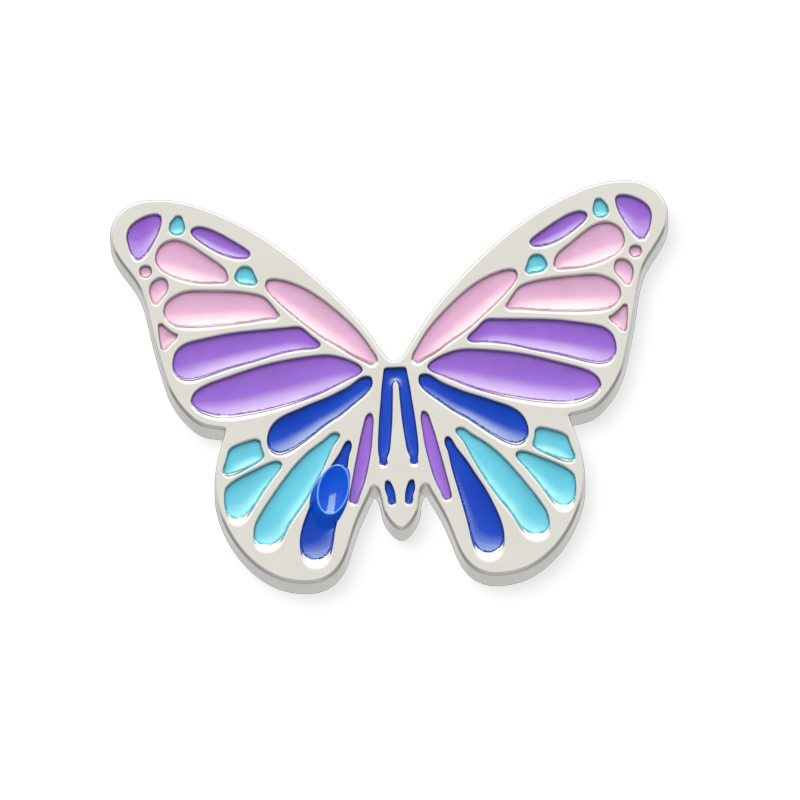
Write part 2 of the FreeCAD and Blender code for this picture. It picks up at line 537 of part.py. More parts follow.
def main():
    os.makedirs("parts", exist_ok=True)
    shapes, openings = make_cells()
    shapes["plate"] = plate_blank().cut(list(shapes.values()) + list(openings.values()))
    shapes["bead_blue"] = make_bead(openings["enamel_hind_lower_blue_left"])
    shapes["pin_bar"] = make_pin_bar()
    shapes["hinge_rivet"] = make_hinge_rivet()
    shapes["pin_stem"] = make_pin_stem()
    shapes["catch_housing"] = make_catch_housing()
    shapes["catch_roller"] = make_catch_roller()
    shapes["solder_left"] = make_solder(-SOLDER_X)
    shapes["solder_right"] = make_solder(SOLDER_X)
    for name, shape in shapes.items():
        solids = shape.Solids
        if len(solids) == 1:
            shape = solids[0]
        print(name, len(solids), shape.isValid(), round(shape.Volume, 3))
        shape.exportStep("parts/" + name + ".step")


main()
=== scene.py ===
"""Looks of the butterfly brooch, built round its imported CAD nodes.

It is a polished plate with recessed enamel cells and one raised bead. On its back are a pin, hinge and catch.
Outlines come from the CAD nodes. Lengths are in millimetres until a mesh is made. The plate lies in the plane
of x and z: +X is right and +Z up seen from the front, with -Y towards the viewer.
"""

import math

import bmesh
import bpy
import numpy as np
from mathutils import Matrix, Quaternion, Vector
from mathutils.geometry import delaunay_2d_cdt


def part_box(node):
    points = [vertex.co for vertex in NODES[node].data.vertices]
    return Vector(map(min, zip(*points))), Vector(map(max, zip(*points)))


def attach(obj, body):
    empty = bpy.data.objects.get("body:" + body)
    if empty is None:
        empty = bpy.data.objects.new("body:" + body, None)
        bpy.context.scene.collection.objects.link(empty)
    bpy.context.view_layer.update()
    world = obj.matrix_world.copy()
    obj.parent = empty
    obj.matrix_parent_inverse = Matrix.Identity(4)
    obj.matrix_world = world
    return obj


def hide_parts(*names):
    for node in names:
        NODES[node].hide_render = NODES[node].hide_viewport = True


MM = 0.001

# Mesh
STEP = 0.11               # distance between points along an outline and across an enamel surface
CURVE_STEPS = 12          # curve points for each given point of an outline, before they are evened out
FEWEST_POINTS = 24
EDGE_ROUND = 0.045        # rounding of a cell's mouth
EDGE_ROUND_ABOVE = 0.08   # and along its upper edge
EDGE_ROUND_BELOW = 0.24   # and along its lower edge
EDGE_SHARE = 0.4          # share of a thin web of metal that one mouth's rounding may take
EDGE_STEPS = 3
WALL_STEPS = 3
WALL_HOLLOW = 0.02        # how far a cell's sloped wall sinks between its top and its foot
STEEP_WALL = (0.09, 0.14)  # widths of the cells' sloped walls, from full painted shade to none: the narrower a wall, the darker it is painted
WALL_SLANT = 1.6          # a wall's width along the cell's normal is at most this many times its least width
WALL_BLUR = 3             # passes that even out the wall's width
WEB_FACING = -0.2         # two edges stand either side of a web when their normals' product is below this
RIM_STEPS = 7
SIDE_STEPS = (0.35, 0.7, 1.0)
BACK_ROUND = 0.08
BACK_STEPS = 3
SIDE_DRAFT = 0.06         # the plate's side spreads this far towards the back
ENAMEL_LAP = 0.012        # how far the enamel's edge runs into the wall of its cell
ENAMEL_TILT = 0.27        # slope of the sunken enamel surface at its edge
ENAMEL_MARGIN = 0.55      # clear border between the enamel's edge and the points inside it, in steps

# The bead, in the pattern's own x and z: the outline where its flanks end, and the ellipse of its rim
ART_Z = -0.5
BEAD_CELL = "enamel_hind_lower_blue_left"
BEAD_FOOT = [
    (-4.3, -4.6), (-4.9, -4.9), (-5.5, -5.5), (-6.0, -6.2), (-6.35, -7.0), (-6.5, -7.9), (-6.45, -8.8),
    (-6.1, -9.5), (-5.5, -9.8), (-4.85, -9.55), (-4.4, -9.0), (-4.0, -8.3), (-3.7, -7.5),
    (-3.55, -6.5), (-3.5, -5.5), (-3.75, -4.85),
]
BEAD_MIDDLE = (-4.73, -6.86)
BEAD_HALF_LENGTH = 1.89
BEAD_HALF_WIDTH = 1.07
BEAD_LEAN = 13.5          # degrees
BEAD_HOLLOW = 0.42        # depth of the hollow in its middle
BEAD_SINK = 0.012         # how far its foot runs below the surface it lies on
BEAD_HIGHLIGHT = 0.065         # painted highlight: the colour is made pale this near to the crest of the rim
BEAD_NEIGHBOURS = 4       # how many points of the cell's enamel give the depth of a point on the foot
BEAD_FLOW = 1.5           # how much the flanks flatten near the rim where the bead runs into enamel
BEAD_DROP = 1.5           # how round the flanks are where it meets metal
BEAD_BOWL = 0.85          # how round the hollow is: 1 for a parabola
BEAD_CROWDING = 0.7       # the hollow's rings stand closer together near the rim
BEAD_BLUR = 6             # passes that soften the change from enamel to metal
BEAD_EASE = 2             # passes that soften the rim
BEAD_FLANK_STEPS = 16
BEAD_HOLLOW_STEPS = 18

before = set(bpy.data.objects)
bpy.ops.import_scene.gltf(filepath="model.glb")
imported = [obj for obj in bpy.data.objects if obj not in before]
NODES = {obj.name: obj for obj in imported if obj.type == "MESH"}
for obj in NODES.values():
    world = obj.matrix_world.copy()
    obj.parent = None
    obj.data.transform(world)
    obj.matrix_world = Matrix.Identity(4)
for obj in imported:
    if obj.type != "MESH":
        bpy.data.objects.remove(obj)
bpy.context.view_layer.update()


# ---------------------------------------------------------------- reading the CAD nodes

def node_mesh(name):
    """A node's vertices in millimetres, without doubles, and its triangles."""
    mesh = NODES[name].data
    mesh.calc_loop_triangles()
    spots = np.array([v.co for v in mesh.vertices], float) / MM
    triangles = np.array([t.vertices[:] for t in mesh.loop_triangles], int)
    keys = np.round(spots * 1e4).astype(np.int64)
    _, first, same = np.unique(keys, axis=0, return_index=True, return_inverse=True)
    return spots[first], same.reshape(-1)[triangles]


def flat_loops(name, y):
    """The outlines, as x and z, of the part of a node's surface that lies in the plane y."""
    spots, triangles = node_mesh(name)
    flat = triangles[(np.abs(spots[triangles][:, :, 1] - y) < 1e-3).all(axis=1)]
    edges = {(a, b) for t in flat for a, b in ((t[0], t[1]), (t[1], t[2]), (t[2], t[0])) if a != b}
    following = {a: b for a, b in edges if (b, a) not in edges}
    loops = []
    while following:
        start, spot = following.popitem()
        chain = [start]
        while spot != start:
            chain.append(spot)
            spot = following.pop(spot)
        loops.append(counter_clockwise(spots[chain][:, (0, 2)]))
    return loops


def enclosed_area(loop):
    ahead = np.roll(loop, -1, axis=0)
    return 0.5 * float(np.sum(loop[:, 0] * ahead[:, 1] - ahead[:, 0] * loop[:, 1]))


def counter_clockwise(loop):
    return loop if enclosed_area(loop) > 0 else loop[::-1]


# ---------------------------------------------------------------- outlines

def smooth_loop(loop, step):
    """A centripetal Catmull-Rom curve through an outline's points, as evenly spaced points."""
    a, b, c, d = (np.roll(loop, k, axis=0) for k in (1, 0, -1, -2))
    span = [np.sqrt(np.linalg.norm(q - p, axis=1))[:, None] for p, q in ((a, b), (b, c), (c, d))]
    t1 = span[0]
    t2 = t1 + span[1]
    t3 = t2 + span[2]
    pieces = []
    for share in np.linspace(0, 1, CURVE_STEPS, endpoint=False):
        t = t1 + (t2 - t1) * share
        ab = (a * (t1 - t) + b * t) / t1
        bc = (b * (t2 - t) + c * (t - t1)) / (t2 - t1)
        cd = (c * (t3 - t) + d * (t - t2)) / (t3 - t2)
        abc = (ab * (t2 - t) + bc * t) / t2
        bcd = (bc * (t3 - t) + cd * (t - t1)) / (t3 - t1)
        pieces.append((abc * (t2 - t) + bcd * (t - t1)) / (t2 - t1))
    fine = np.stack(pieces, axis=1).reshape(-1, 2)
    ring = np.vstack([fine, fine[:1]])
    along = np.concatenate([[0], np.cumsum(np.linalg.norm(np.diff(ring, axis=0), axis=1))])
    count = max(FEWEST_POINTS, int(round(along[-1] / step)))
    marks = np.arange(count) * along[-1] / count
    return np.stack([np.interp(marks, along, ring[:, k]) for k in (0, 1)], axis=1)


def outward(loop):
    """Unit normals that point out of a counter-clockwise outline."""
    run = np.roll(loop, -1, axis=0) - np.roll(loop, 1, axis=0)
    run /= np.linalg.norm(run, axis=1)[:, None]
    return np.stack([run[:, 1], -run[:, 0]], axis=1)


def inside(loop, spots):
    """Which spots lie in the outline."""
    x, z = spots[:, 0][:, None], spots[:, 1][:, None]
    x1, z1 = loop[:, 0], loop[:, 1]
    x2, z2 = np.roll(x1, -1), np.roll(z1, -1)
    across = (z1 > z) != (z2 > z)
    with np.errstate(divide="ignore", invalid="ignore"):
        hit = x < (x2 - x1) * (z - z1) / (z2 - z1) + x1
    return (across & hit).sum(axis=1) % 2 == 1


def distance_to(loop, spots):
    """Distance of each spot from the nearest stretch of the outline."""
    ahead = np.roll(loop, -1, axis=0) - loop
    gap = spots[:, None] - loop[None]
    share = np.clip((gap * ahead).sum(axis=2) / (ahead ** 2).sum(axis=1), 0, 1)
    return np.linalg.norm(gap - share[:, :, None] * ahead, axis=2).min(axis=1)


def blurred(values, passes):
    """Values round a loop, each time mixed half and half with their two neighbours."""
    for _ in range(passes):
        values = (np.roll(values, 1) + 2 * values + np.roll(values, -1)) / 4
    return values


def reach_along(loop, directions, target):
    """How far each point of a loop is from another outline, along its own direction."""
    run = np.roll(target, -1, axis=0) - target
    gap = target[None] - loop[:, None]
    cross = directions[:, None, 0] * run[None, :, 1] - directions[:, None, 1] * run[None, :, 0]
    with np.errstate(divide="ignore", invalid="ignore"):
        far = (gap[:, :, 0] * run[None, :, 1] - gap[:, :, 1] * run[None, :, 0]) / cross
        share = (gap[:, :, 0] * directions[:, None, 1] - gap[:, :, 1] * directions[:, None, 0]) / cross
    good = (share >= -1e-6) & (share <= 1 + 1e-6) & (far > 0)
    return np.where(good, far, np.inf).min(axis=1)


# ---------------------------------------------------------------- meshes

def make_piece(name, spots, faces, material, body, flat=(), normals=None):
    """A mesh piece from points in millimetres. The faces numbered in flat keep a flat look."""
    mesh = bpy.data.meshes.new(name)
    mesh.from_pydata((np.asarray(spots) * MM).tolist(), [], [list(map(int, f)) for f in faces])
    mesh.validate()
    shaded = np.ones(len(mesh.polygons), bool)
    shaded[list(flat)] = False
    mesh.polygons.foreach_set("use_smooth", shaded)
    grid = bmesh.new()
    grid.from_mesh(mesh)
    bmesh.ops.recalc_face_normals(grid, faces=grid.faces)
    if grid.calc_volume(signed=True) < 0:
        bmesh.ops.reverse_faces(grid, faces=grid.faces)
    grid.to_mesh(mesh)
    grid.free()
    if normals is not None:
        mesh.normals_split_custom_set_from_vertices(normals(mesh))
    mesh.materials.append(material)
    piece = bpy.data.objects.new(name, mesh)
    bpy.context.scene.collection.objects.link(piece)
    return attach(piece, body)


def fill(rings, kept=()):
    """Triangles between outlines: an outer ring, any rings of holes, and loose points between them."""
    spots = [Vector(p) for ring in rings for p in ring] + [Vector(p) for p in kept]
    edges, first = [], 0
    for ring in rings:
        count = len(ring)
        edges += [(first + i, first + (i + 1) % count) for i in range(count)]
        first += count
    made, _, faces, origin, _, _ = delaunay_2d_cdt(spots, edges, [], 1, 1e-7)
    if len(made) != len(spots):
        extra = [tuple(round(c, 2) for c in v) for v, group in zip(made, origin) if len(group) != 1]
        raise ValueError(f"an outline crosses itself or another one near {extra[:12]}")
    middles = np.array([np.mean([made[i][:] for i in face], axis=0) for face in faces])
    kept_faces = np.ones(len(faces), bool)
    for hole in rings[1:]:
        kept_faces &= ~inside(hole, middles)
    source = [group[0] for group in origin]
    return [[source[i] for i in face] for face, good in zip(faces, kept_faces) if good]


def members(place):
    """The numbers of a ring's points. Its place is the first of them and how many they are."""
    first, count = place
    return range(first, first + count)


def strips(rings):
    """Quads between rings of equal length."""
    faces = []
    count = rings[0][1]
    for (low, _), (high, _) in zip(rings, rings[1:]):
        for i in range(count):
            j = (i + 1) % count
            faces.append((low + i, low + j, high + j, high + i))
    return faces


class Surface:
    """Points and faces of a piece while it is put together ring by ring."""

    def __init__(self):
        self.spots, self.faces = [], []
        self.count = 0

    def ring(self, loop, y):
        """Adds a ring of points at depth y, a number or one per point, and returns its place."""
        first = self.count
        level = np.broadcast_to(y, len(loop))
        self.spots.append(np.stack([loop[:, 0], level, loop[:, 1]], axis=1))
        self.count += len(loop)
        return first, len(loop)

    def join(self, rings):
        self.faces += strips(rings)

    def cap(self, places, loops, kept=None, level=None):
        """Closes outlines with triangles, through any kept points, and returns the faces' numbers."""
        numbers = [number for place in places for number in members(place)]
        extra = () if kept is None else kept
        if len(extra):
            numbers += members(self.ring(kept, level))
        made = [[numbers[i] for i in face] for face in fill(loops, extra)]
        self.faces += made
        return range(len(self.faces) - len(made), len(self.faces))

    def all_spots(self):
        return np.vstack(self.spots)


# ---------------------------------------------------------------- the plate

def plate_levels():
    """The planes of the plate's front and back, and of the enamel and the pocket floors."""
    low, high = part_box("plate")
    first = next(n for n in sorted(NODES) if n.startswith("enamel_"))
    top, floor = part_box(first)
    return low.y / MM, high.y / MM, top.y / MM, floor.y / MM


FACE_Y, BACK_Y, ENAMEL_Y, FLOOR_Y = plate_levels()


def colour_of(name):
    return next(colour for colour in ("pink", "turquoise", "purple", "blue") if colour in name)


class Cell:
    """One enamel cell: its floor outline, and how wide the sloped wall is round it."""

    def __init__(self, name, mouths):
        self.name = name
        self.loop = smooth_loop(flat_loops(name, ENAMEL_Y)[0], STEP)
        self.normal = outward(self.loop)
        middle = (self.loop.min(axis=0) + self.loop.max(axis=0)) / 2
        mouth = min(mouths, key=lambda m: np.linalg.norm((m.min(axis=0) + m.max(axis=0)) / 2 - middle))
        reach = reach_along(self.loop, self.normal, mouth)
        self.width = blurred(np.minimum(reach, WALL_SLANT * distance_to(mouth, self.loop)), WALL_BLUR)

    def at(self, share, extra=0.0):
        """The outline at a share of the wall's width, and further out by extra."""
        return self.loop + self.normal * (self.width * share + extra)[:, None]


def hollow_radius(loop):
    """Radius of curvature where a counter-clockwise outline bends inwards, and infinity elsewhere."""
    back, on = loop - np.roll(loop, 1, axis=0), np.roll(loop, -1, axis=0) - loop
    turn = np.arctan2(back[:, 1] * on[:, 0] - back[:, 0] * on[:, 1], (back * on).sum(axis=1))
    length = (np.linalg.norm(back, axis=1) + np.linalg.norm(on, axis=1)) / 2
    radius = np.where(turn > 1e-3, length / np.maximum(turn, 1e-3), np.inf)
    return np.min([np.roll(radius, k) for k in (-1, 0, 1)], axis=0)


def edge_rounds(cells, rim):
    """Each mouth's rounding, smaller where the web of metal beside it is thin."""
    mouths = [cell.at(1.0) for cell in cells]
    spots = np.vstack(mouths + [rim])
    facing = np.vstack([outward(mouth) for mouth in mouths] + [-outward(rim)])
    rounds = []
    for mouth in mouths:
        apart = spots[None] - mouth[:, None]
        ahead = outward(mouth)
        across = ((apart * ahead[:, None]).sum(axis=2) > 0) & (ahead @ facing.T < WEB_FACING)
        gap = np.where(across, np.linalg.norm(apart, axis=2), np.inf).min(axis=1)
        up = ahead[:, 1]
        wanted = EDGE_ROUND + (EDGE_ROUND_ABOVE - EDGE_ROUND) * np.clip(up, 0, 1)
        wanted += (EDGE_ROUND_BELOW - EDGE_ROUND) * np.clip(-up, 0, 1)
        size = np.minimum(wanted, EDGE_SHARE * np.minimum(gap, hollow_radius(mouth)))
        for _ in range(2):
            size = np.minimum(size, (np.roll(size, 1) + np.roll(size, -1) + size) / 3)
        rounds.append(size)
    return rounds


def side_profile(rim):
    """The plate's side, as pairs of how far out and how deep: rounded rim, draft and rounded back edge."""
    draft_depth = BACK_Y - BACK_ROUND - FACE_Y - rim
    profile = []
    for i in range(RIM_STEPS + 1):
        turn = math.pi / 2 * i / RIM_STEPS
        profile.append((rim * (math.sin(turn) - 1), FACE_Y + rim * (1 - math.cos(turn))))
    for share in SIDE_STEPS:
        profile.append((SIDE_DRAFT * share, FACE_Y + rim + draft_depth * share))
    for i in range(1, BACK_STEPS + 1):
        turn = math.pi / 2 * i / BACK_STEPS
        inset = BACK_ROUND * (1 - math.cos(turn))
        profile.append((SIDE_DRAFT - inset, BACK_Y - BACK_ROUND * (1 - math.sin(turn))))
    return profile


def sink_cell(surface, cell, size):
    """Adds a cell's rounded mouth, sloped wall and pocket. Returns its rings, and those on the wall."""
    slope = np.stack([-cell.width, np.full(len(size), ENAMEL_Y - FACE_Y)], axis=1)
    length = np.linalg.norm(slope, axis=1)
    rings = []
    for i in range(EDGE_STEPS + 1):
        t = i / EDGE_STEPS
        out = size * (1 - t) ** 2 + slope[:, 0] / length * size * t ** 2
        down = slope[:, 1] / length * size * t ** 2
        rings.append(surface.ring(cell.at(1.0, out), FACE_Y + down))
    start = size / length
    for share in np.linspace(0, 1, WALL_STEPS + 2)[1:]:
        along = start + (1 - start) * share
        hollow = WALL_HOLLOW * math.sin(math.pi * share)
        rings.append(surface.ring(
            cell.at(1.0, -cell.width * along + hollow * slope[:, 1] / length),
            FACE_Y + slope[:, 1] * along + hollow * cell.width / length))
    wall = rings[EDGE_STEPS + 1:]
    rings.append(surface.ring(cell.loop, FLOOR_Y))
    surface.join(rings)
    surface.cap(rings[-1:], [cell.loop])
    return rings, wall


def mark_points(piece, name, values):
    """Gives each point of a piece a number that its material can read."""
    piece.data.attributes.new(name, "FLOAT", "POINT").data.foreach_set("value", values)


def make_plate(cells, material):
    """The plate's side, its cells and its front and back faces, which are shaded dead flat."""
    surface = Surface()
    outline = smooth_loop(flat_loops("plate", BACK_Y)[0], STEP)
    normal = outward(outline)
    front_loop = max(flat_loops("plate", FACE_Y), key=enclosed_area)
    profile = side_profile(outline[:, 0].max() - front_loop[:, 0].max())
    rings = [surface.ring(outline + normal * out, y) for out, y in profile]
    surface.join(rings)
    surface.cap(rings[-1:], [outline + normal * profile[-1][0]])
    places, loops = [rings[0]], [outline + normal * profile[0][0]]
    # How much painted shade each ring of a cell's wall gets: narrower walls are darkened more
    dull = {}
    for cell, size in zip(cells, edge_rounds(cells, loops[0])):
        cell_rings, wall = sink_cell(surface, cell, size)
        places.append(cell_rings[0])
        loops.append(cell.at(1.0, size))
        for place in wall:
            dull[place] = np.interp(cell.width, STEEP_WALL, (1, 0))
    surface.cap(places, loops)

    def normals(mesh):
        found = np.array([v.vector for v in mesh.vertex_normals], float)
        for place in places:
            found[members(place)] = (0, -1, 0)
        found[members(rings[-1])] = (0, 1, 0)
        return found.tolist()

    plate = make_piece("plate_shell", surface.all_spots(), surface.faces, material, "brooch", normals=normals)
    # Painted shade: the walls' darkening is stored on the points for the plate's material
    values = np.zeros(surface.count)
    for place, amount in dull.items():
        values[members(place)] = amount
    mark_points(plate, "dull", values)
    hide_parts("plate")
    return plate


# ---------------------------------------------------------------- enamel

def interior_points(loop, step):
    """Evenly spaced points inside an outline, in rows that are offset by half a step."""
    low, high = loop.min(axis=0), loop.max(axis=0)
    rows = np.arange(low[1], high[1], step * math.sqrt(0.75))
    grid = [
        (x, z) for k, z in enumerate(rows)
        for x in np.arange(low[0] + step / 2 * (k % 2), high[0], step)
    ]
    grid = np.array(grid)
    grid = grid[inside(loop, grid)]
    return grid[distance_to(loop, grid) > step * ENAMEL_MARGIN]


def sunken(flat, triangles, edge_count, curve):
    """How deep each point has sunk: the even curvature of a liquid surface held at its edge.

    This is Poisson's equation over the triangles. An edge's weight comes from the angles that face it.
    """
    count = len(flat)
    weights = np.zeros((count, count))
    area = np.zeros(count)
    for t in np.asarray(triangles):
        corner = flat[t]
        size = abs(np.cross(corner[1] - corner[0], corner[2] - corner[0])) / 2
        area[t] += size / 3
        for k in range(3):
            i, j, o = t[(k + 1) % 3], t[(k + 2) % 3], t[k]
            u, v = flat[i] - flat[o], flat[j] - flat[o]
            weight = 0.5 * float(u @ v) / max(2 * size, 1e-9)
            weights[i, j] += weight
            weights[j, i] += weight
    system = np.diag(weights.sum(axis=1)) - weights
    inner = slice(edge_count, count)
    depth = np.zeros(count)
    depth[inner] = np.linalg.solve(system[inner, inner], area[inner] * curve)
    return depth


def make_enamel(cell, material):
    surface = Surface()
    loop = cell.loop + cell.normal * ENAMEL_LAP
    edge = surface.ring(loop, ENAMEL_Y)
    kept = interior_points(loop, STEP)
    top = surface.cap([edge], [loop], kept, ENAMEL_Y)
    spots = surface.all_spots()
    perimeter = np.linalg.norm(np.roll(loop, -1, axis=0) - loop, axis=1).sum()
    curve = ENAMEL_TILT * perimeter / enclosed_area(loop)
    sunk = sunken(spots[:, (0, 2)], [surface.faces[i] for i in top], len(loop), curve)
    surface.spots = [spots + np.outer(sunk, (0, 1, 0))]
    bottom = surface.ring(loop, FLOOR_Y)
    side_start = len(surface.faces)
    surface.join([edge, bottom])
    surface.cap([bottom], [loop])
    piece = make_piece(
        cell.name + "_fill", surface.all_spots(), surface.faces, material, "brooch",
        flat=range(side_start, len(surface.faces)))
    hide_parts(cell.name)
    return piece


# ---------------------------------------------------------------- the bead

def bead_axes():
    """The long and short axes of the bead's leaning ellipses, the long one towards its upper tip."""
    lean = math.radians(BEAD_LEAN)
    return np.array([math.sin(lean), math.cos(lean)]), np.array([math.cos(lean), -math.sin(lean)])


def bead_ellipse(middle, scale, angles):
    """Points of the rim's ellipse at a scale, at angles measured from its upper tip."""
    long_axis, short_axis = bead_axes()
    along = np.cos(angles) * (BEAD_HALF_LENGTH * scale)
    across = np.sin(angles) * (BEAD_HALF_WIDTH * scale)
    return middle + np.outer(along, long_axis) + np.outer(across, short_axis)


def level_at(piece, spots):
    """Depth of a piece's front surface at each spot, from the nearest few points of its mesh."""
    points = np.array([v.co for v in piece.data.vertices], float) / MM
    points = points[points[:, 1] < (ENAMEL_Y + FLOOR_Y) / 2]
    apart = np.linalg.norm(spots[:, None] - points[None][:, :, (0, 2)], axis=2)
    nearest = np.argsort(apart, axis=1)[:, :BEAD_NEIGHBOURS]
    weight = 1 / (np.take_along_axis(apart, nearest, axis=1) + 1e-3)
    return (points[nearest, 1] * weight).sum(axis=1) / weight.sum(axis=1)


def bead_flanks(foot, foot_y, crest, crest_y, on_metal):
    """Loops and depths from foot to crest: hollow where they run into enamel, round where they meet metal."""
    loops, levels = [], []
    for share in np.linspace(0, 1, BEAD_FLANK_STEPS):
        flow = share * share * (1 + BEAD_FLOW - BEAD_FLOW * share)
        drop = 1 - (1 - share) ** BEAD_DROP
        rise = flow + (drop - flow) * on_metal
        loops.append(foot + (crest - foot) * share)
        levels.append(foot_y + (crest_y - foot_y) * rise)
    return loops, levels


def make_bead(cell, filling, material):
    """A drop of enamel: its flanks flow out over cell and metal, and its top is a rim round a hollow."""
    foot = counter_clockwise(smooth_loop(np.array(BEAD_FOOT) + (0, ART_Z), STEP / 2))
    middle = np.array(BEAD_MIDDLE) + (0, ART_Z)
    crest_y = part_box("bead_blue")[0].y / MM
    long_axis, short_axis = bead_axes()
    gap = foot - middle
    angles = np.arctan2(gap @ short_axis / BEAD_HALF_WIDTH, gap @ long_axis / BEAD_HALF_LENGTH)
    on_metal = blurred((~inside(cell.at(1.0), foot)).astype(float), BEAD_BLUR)
    enamel_y = level_at(filling, foot)
    foot_y = enamel_y + (FACE_Y - enamel_y) * on_metal + BEAD_SINK
    crest = bead_ellipse(middle, 1, angles)
    loops, levels = bead_flanks(foot, foot_y, crest, crest_y, on_metal)
    for scale in np.linspace(1, 0, BEAD_HOLLOW_STEPS)[1:-1] ** BEAD_CROWDING:
        loops.append(bead_ellipse(middle, scale, angles))
        levels.append(np.full(len(foot), crest_y + BEAD_HOLLOW * (1 - scale * scale) ** BEAD_BOWL))
    levels = np.array(levels)
    for _ in range(BEAD_EASE):
        levels[1:-1] = (levels[:-2] + 2 * levels[1:-1] + levels[2:]) / 4
    surface = Surface()
    rings = [surface.ring(foot, foot_y + BEAD_SINK)]
    rings += [surface.ring(loop, level) for loop, level in zip(loops, levels)]
    surface.join(rings)
    surface.cap(rings[:1], [foot])
    surface.cap(rings[-1:], [loops[-1]])
    piece = make_piece("bead_drop", surface.all_spots(), surface.faces, material, "brooch")
    # Painted highlight: points near the rim's crest are marked to be coloured paler
    from_crest = np.concatenate([distance_to(crest, loop) for loop in [foot] + loops])
    mark_points(piece, "thin", np.clip(1 - (from_crest / BEAD_HIGHLIGHT) ** 2, 0, 1))
    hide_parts("bead_blue")
    return piece


# ---------------------------------------------------------------- materials

MIX_FIRST, MIX_SECOND, MIX_RESULT = 6, 7, 2   # a mix node's sockets for colours
NOISE_RANGE = (0.3, 0.7)  # what a noise texture's values mostly lie between

# Noise scales, in features per metre
METAL_GRAIN = 2600
ENAMEL_CLOUD = 700
ENAMEL_GRAIN = 1800
ENAMEL_WAVE = 420
ENAMEL_WAVE_HEIGHT = 0.000004


def principled(name, **inputs):
    material = bpy.data.materials.new(name)
    material.use_nodes = True
    shader = material.node_tree.nodes["Principled BSDF"]
    for key, value in inputs.items():
        shader.inputs[key.replace("_", " ")].default_value = value
    return material, material.node_tree, shader


def linear(red, green, blue):
    """A colour given as 0 to 255, in linear light."""
    tone = [c / 255 for c in (red, green, blue)]
    return tuple(c / 12.92 if c <= 0.04045 else ((c + 0.055) / 1.055) ** 2.4 for c in tone) + (1.0,)


def noise(tree, scale, detail=2.0, roughness=0.5):
    """Noise in the piece's own space, scale in features per metre."""
    place = tree.nodes.new("ShaderNodeTexCoord")
    texture = tree.nodes.new("ShaderNodeTexNoise")
    texture.inputs["Scale"].default_value = scale
    texture.inputs["Detail"].default_value = detail
    texture.inputs["Roughness"].default_value = roughness
    tree.links.new(place.outputs["Object"], texture.inputs["Vector"])
    return texture.outputs["Fac"]


def ramp(tree, source, stops):
    node = tree.nodes.new("ShaderNodeValToRGB")
    while len(node.color_ramp.elements) < len(stops):
        node.color_ramp.elements.new(0.5)
    for element, (place, colour) in zip(node.color_ramp.elements, stops):
        element.position = place
        element.color = colour
    tree.links.new(source, node.inputs["Fac"])
    return node.outputs["Color"]


def calculate(tree, operation, first, second=None):
    """The result of a sum on a socket, with a number or another socket."""
    node = tree.nodes.new("ShaderNodeMath")
    node.operation = operation
    tree.links.new(first, node.inputs[0])
    if isinstance(second, (int, float)):
        node.inputs[1].default_value = second
    elif second is not None:
        tree.links.new(second, node.inputs[1])
    return node.outputs[0]


def mixed(tree, blend, first, second, amount):
    """Two colours mixed. The amount, and the second colour, are sockets or plain values."""
    node = tree.nodes.new("ShaderNodeMix")
    node.data_type = "RGBA"
    node.blend_type = blend
    tree.links.new(first, node.inputs[MIX_FIRST])
    for value, socket in ((second, node.inputs[MIX_SECOND]), (amount, node.inputs["Factor"])):
        if isinstance(value, bpy.types.NodeSocket):
            tree.links.new(value, socket)
        else:
            socket.default_value = value
    return node.outputs[MIX_RESULT]


def spread(tree, source, low, high):
    """Noise stretched to run from low to high."""
    node = tree.nodes.new("ShaderNodeMapRange")
    node.inputs["From Min"].default_value = NOISE_RANGE[0]
    node.inputs["From Max"].default_value = NOISE_RANGE[1]
    node.inputs["To Min"].default_value = low
    node.inputs["To Max"].default_value = high
    tree.links.new(source, node.inputs["Value"])
    return node.outputs["Result"]


def bump(tree, shader, source, height):
    node = tree.nodes.new("ShaderNodeBump")
    node.inputs["Distance"].default_value = height
    tree.links.new(source, node.inputs["Height"])
    tree.links.new(node.outputs["Normal"], shader.inputs["Normal"])


def metal(name, colour, dark, rough, wave, wave_scale=260):
    """Polished or tumbled plating: slightly uneven in gloss and tone, and never quite flat."""
    material, tree, shader = principled(name, Metallic=1.0)
    cloud = noise(tree, wave_scale * 1.7, 3.0)
    tree.links.new(ramp(tree, cloud, [(0.3, dark), (0.65, colour)]), shader.inputs["Base Color"])
    tree.links.new(spread(tree, noise(tree, METAL_GRAIN, 4.0), *rough), shader.inputs["Roughness"])
    bump(tree, shader, noise(tree, wave_scale), wave)
    return material


def enamel(name, colour, deep, rough=(0.07, 0.13), gloss=0.2):
    """Soft enamel: pigment that settles a little unevenly, under a fired gloss."""
    material, tree, shader = principled(name, IOR=1.52, Specular_IOR_Level=gloss)
    cloud = noise(tree, ENAMEL_CLOUD, 3.0)
    tree.links.new(ramp(tree, cloud, [(0.35, deep), (0.65, colour)]), shader.inputs["Base Color"])
    tree.links.new(spread(tree, noise(tree, ENAMEL_GRAIN, 3.0), *rough), shader.inputs["Roughness"])
    bump(tree, shader, noise(tree, ENAMEL_WAVE), ENAMEL_WAVE_HEIGHT)
    return material


def tone_where(material, mark, tone, share):
    """Blends the colour towards a tone where the piece's points carry the mark."""
    tree = material.node_tree
    base = tree.nodes["Principled BSDF"].inputs["Base Color"]
    marked = tree.nodes.new("ShaderNodeAttribute")
    marked.attribute_name = mark
    amount = calculate(tree, "MULTIPLY", marked.outputs["Fac"], share)
    tree.links.new(mixed(tree, "MIX", base.links[0].from_socket, tone, amount), base)


PLATED = metal("plated_metal", linear(240, 239, 234), linear(237, 236, 230), (0.04, 0.07), 0.0000015)
FINDINGS = metal("plated_findings", linear(226, 224, 218), linear(214, 212, 206), (0.14, 0.24), 0.000006)
STEEL = metal("steel_wire", linear(205, 206, 208), linear(190, 191, 194), (0.1, 0.18), 0.000003)
RIVET = metal("steel_rivet", linear(200, 200, 202), linear(184, 184, 187), (0.16, 0.26), 0.000005)
SOLDER = metal("solder", linear(190, 190, 188), linear(158, 158, 156), (0.3, 0.45), 0.00003, 900)

